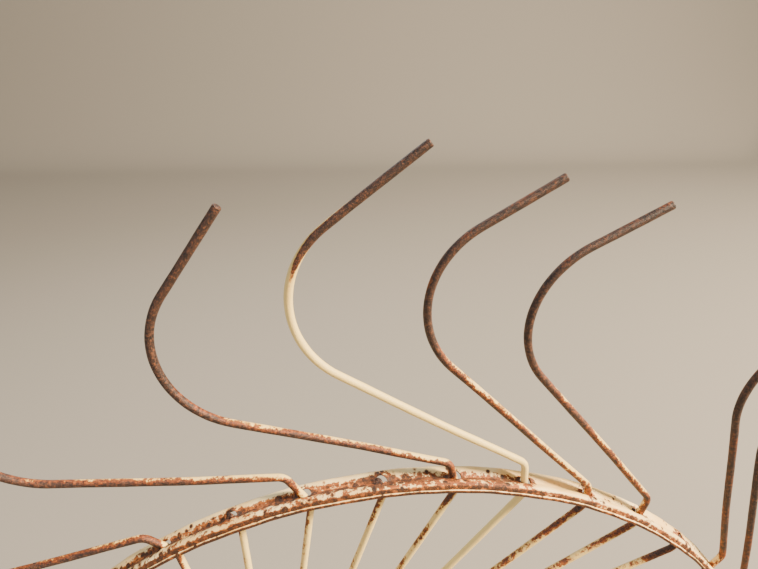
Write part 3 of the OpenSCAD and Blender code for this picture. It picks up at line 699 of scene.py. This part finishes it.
# The wheel
GROUPS = {"top": range(-4, 6), "right": range(6, 16), "bottom": range(16, 26), "left": range(26, 36)}
for group, numbers in GROUPS.items():
    whole = [n for n in numbers if n != NEW_TINE and n not in TORN_TINES]
    points, faces, values = wires(whole)
    piece(f"worn_tines_{group}", points, faces, OLD_WIRE, "wheel", "tine_rust", [f"tines_{group}"], **values)
points, faces, values = wires([NEW_TINE])
piece("newer_tine", points, faces, NEW_WIRE, "wheel", "tine_paint", ["new_tine"], **values)
points, faces, values = wires(TORN_TINES)
piece("torn_tines", points, faces, OLD_WIRE, "wheel", "tine_rust", ["broken_tines"], **values)
points, faces, values = rim_surface()
piece("rolled_rim", points, faces, RIM, "wheel", "rim_paint", ["rim"], **values)
for place, side in (("front", -1), ("rear", 1)):
    points, faces, values = plate_surface(side)
    piece(f"pressed_{place}_plate", points, faces, PLATE, "wheel", "plate_paint", [f"{place}_hub_plate"],
          **values)

# Rivets: a shank through both plates with a domed head, a quarter ellipse, at each end
eyes = np.concatenate([to_wheel(np.array([EYE_AT]), np.array([-EYE_R]), 0.0, number)
                       for number in range(TINES)])
dome = np.linspace(0, math.pi / 2, 5)[:-1]
head = np.stack([RIVET_HEAD_R * np.cos(dome), PLATE_FACE + RIVET_HEAD_H * np.sin(dome)], 1)
half = np.concatenate([[[RIVET_R, 0.5]], [[RIVET_R, PLATE_FACE]], head])
points, faces = skin(turned(np.concatenate([half[::-1] * [1, -1], half]), eyes, 1, 20))
piece("domed_rivets", points, faces, RIVET, "wheel", "rivet_steel", ["tine_rivets"])

# Six bolts hold the plates to the hub's flange. Each profile is radius, height and the chamfer's radius, from
# the washer outwards; where there is a chamfer, the radius is half the width across the flats
BOLT_HEAD = np.array([[6.0, 0, 0], [12.0, 0, 0], [12.0, 2.0, 0], [9.5, 2.0, 11.0], [9.5, 8.2, 11.0],
                      [9.5, 9.0, 10.0], [8.6, 9.5, 9.2], [4.0, 9.6, 0]])
NUT_AND_END = np.array([[6.0, 0, 0], [12.0, 0, 0], [12.0, 2.0, 0], [9.5, 2.0, 11.0], [9.5, 10.5, 11.0],
                        [8.8, 11.2, 9.6], [6.0, 11.2, 0], [5.9, 15.0, 0], [5.0, 16.0, 0]])
for name, profile, side in (("flange_bolt_heads", BOLT_HEAD, -1), ("flange_nuts", NUT_AND_END, 1)):
    places = places_round_axle(BOLT_RING_R, BOLTS, side * PLATE_FACE, FIRST_BOLT)
    points, faces = skin(turned(profile, places, side, 48, 6))
    piece(name, points, faces, RIVET, "wheel", "rivet_steel")

# The nodes whose shape stays
KEPT = {"hub_barrel": IRON, "dust_cap": CAP, "rear_seal": SEAL, "spindle": SHAFT, "thrust_washer": SHAFT,
        "arm_boss": ARM, "arm_tube": ARM, "pivot_sleeve": ARM, "gusset": ARM, "lift_lug": ARM}
for node, material in KEPT.items():
    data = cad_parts[node].data
    data.materials.clear()
    data.materials.append(material)

# The arm's two welds: the line where the tube meets the round boss, and the round sleeve
slope = math.radians(ARM_SLOPE)
turn = np.linspace(0, 2 * math.pi, 240, endpoint=False)
arm_x = np.array([-math.cos(slope), 0, math.sin(slope)])
arm_up = np.array([math.sin(slope), 0, math.cos(slope)])
arm_start = WHEEL_CENTRE + [0, ARM_GAP, 0]
tube_ring = TUBE_R * (np.cos(turn)[:, None] * np.array([0, 1, 0]) + np.sin(turn)[:, None] * arm_up)
for name, round_r, axis_at, way in (("boss_weld", BOSS_R, 0, 1), ("sleeve_weld", SLEEVE_R, ARM_LEN, -1)):
    reach = np.sqrt(round_r ** 2 - (TUBE_R * np.sin(turn)) ** 2)[:, None] + WELD_GAP
    weld_bead(name, arm_start + tube_ring + (axis_at + way * reach) * arm_x, arm_x)

# The camera, at the photo's angle, in metres: its right, down and ahead directions, and where it stands
CAMERA_RIGHT, CAMERA_DOWN = (0.99487, -0.10095, 0.00646), (-0.03702, -0.4228, -0.90546)
CAMERA_AHEAD, CAMERA_AT = (0.09414, 0.90058, -0.42437), (0.35568, -0.5038, 0.7819)
camera = bpy.data.objects.new("camera", bpy.data.cameras.new("camera"))
camera.data.sensor_width = 36.0
camera.data.lens = 24.697
camera.data.clip_start = 0.02
camera.matrix_world = Matrix([(right, -down, -ahead, at) for right, down, ahead, at in
                              zip(CAMERA_RIGHT, CAMERA_DOWN, CAMERA_AHEAD, CAMERA_AT)] + [(0, 0, 0, 1)])
bpy.context.scene.collection.objects.link(camera)
bpy.context.scene.camera = camera

# A pale floor that curves up to pale walls on all sides: flat, then a quarter circle, stretched upwards
FLOOR_Z, FLOOR_SPAN, FLOOR_BEND, WALL_STRETCH = -0.7695, 9.0, 2.5, 3
run = np.linspace(-FLOOR_SPAN, FLOOR_SPAN, 73)
rise = np.maximum(np.abs(run) - (FLOOR_SPAN - FLOOR_BEND), 0)
rise = FLOOR_BEND - np.sqrt(np.maximum(FLOOR_BEND ** 2 - rise ** 2, 0))
fx, fy = np.meshgrid(run, run, indexing="ij")
fz = FLOOR_Z + np.maximum(rise[:, None], rise[None, :]) * WALL_STRETCH
index = np.arange(fx.size).reshape(fx.shape)
cells = np.stack([index[:-1, :-1], index[1:, :-1], index[1:, 1:], index[:-1, 1:]], -1).reshape(-1, 4)
floor_mesh = bpy.data.meshes.new("floor")
floor_mesh.from_pydata(np.stack([fx, fy, fz], -1).reshape(-1, 3).tolist(), [], cells.tolist())
floor_mesh.polygons.foreach_set("use_smooth", np.ones(len(floor_mesh.polygons), bool))
floor = bpy.data.objects.new("floor", floor_mesh)
# Matt paper, pale under the studio's light
paper = new_material("pale_floor")
matt = add(paper, "ShaderNodeBsdfPrincipled", {"Base Color": colour("#8b8780"), "Roughness": 0.9})
add(paper, "ShaderNodeOutputMaterial", {"Surface": matt.outputs[0]})
floor_mesh.materials.append(paper)
bpy.context.scene.collection.objects.link(floor)

# Soft studio light: a pale sky, and three square lamps that face the top of the rim, each with its place and
# size in metres, its power in watts and its tint
world = bpy.data.worlds.new("studio")
world.use_nodes = True
world.node_tree.nodes["Background"].inputs["Color"].default_value = colour("#e6ebf2")
world.node_tree.nodes["Background"].inputs["Strength"].default_value = 0.55
bpy.context.scene.world = world

LIT_PLACE = Vector((0.4, -0.15, 0.35))
LIGHTS = (("key", (7.2, -2.3, 5.9), 1.5, 4300, "#ffe9c9"), ("fill", (-2.2, -2.2, 1.7), 2.0, 35, "#eef3ff"),
          ("back", (-0.5, 2.6, 2.3), 1.6, 50, "#ffffff"))
for name, place, size, power, tint in LIGHTS:
    lamp = bpy.data.lights.new(name, "AREA")
    lamp.size, lamp.energy, lamp.color = size, power, colour(tint)[:3]
    light = bpy.data.objects.new(name, lamp)
    aim = (LIT_PLACE - Vector(place)).to_track_quat("-Z", "Y").to_matrix().to_4x4()
    light.matrix_world = Matrix.Translation(place) @ aim
    bpy.context.scene.collection.objects.link(light)
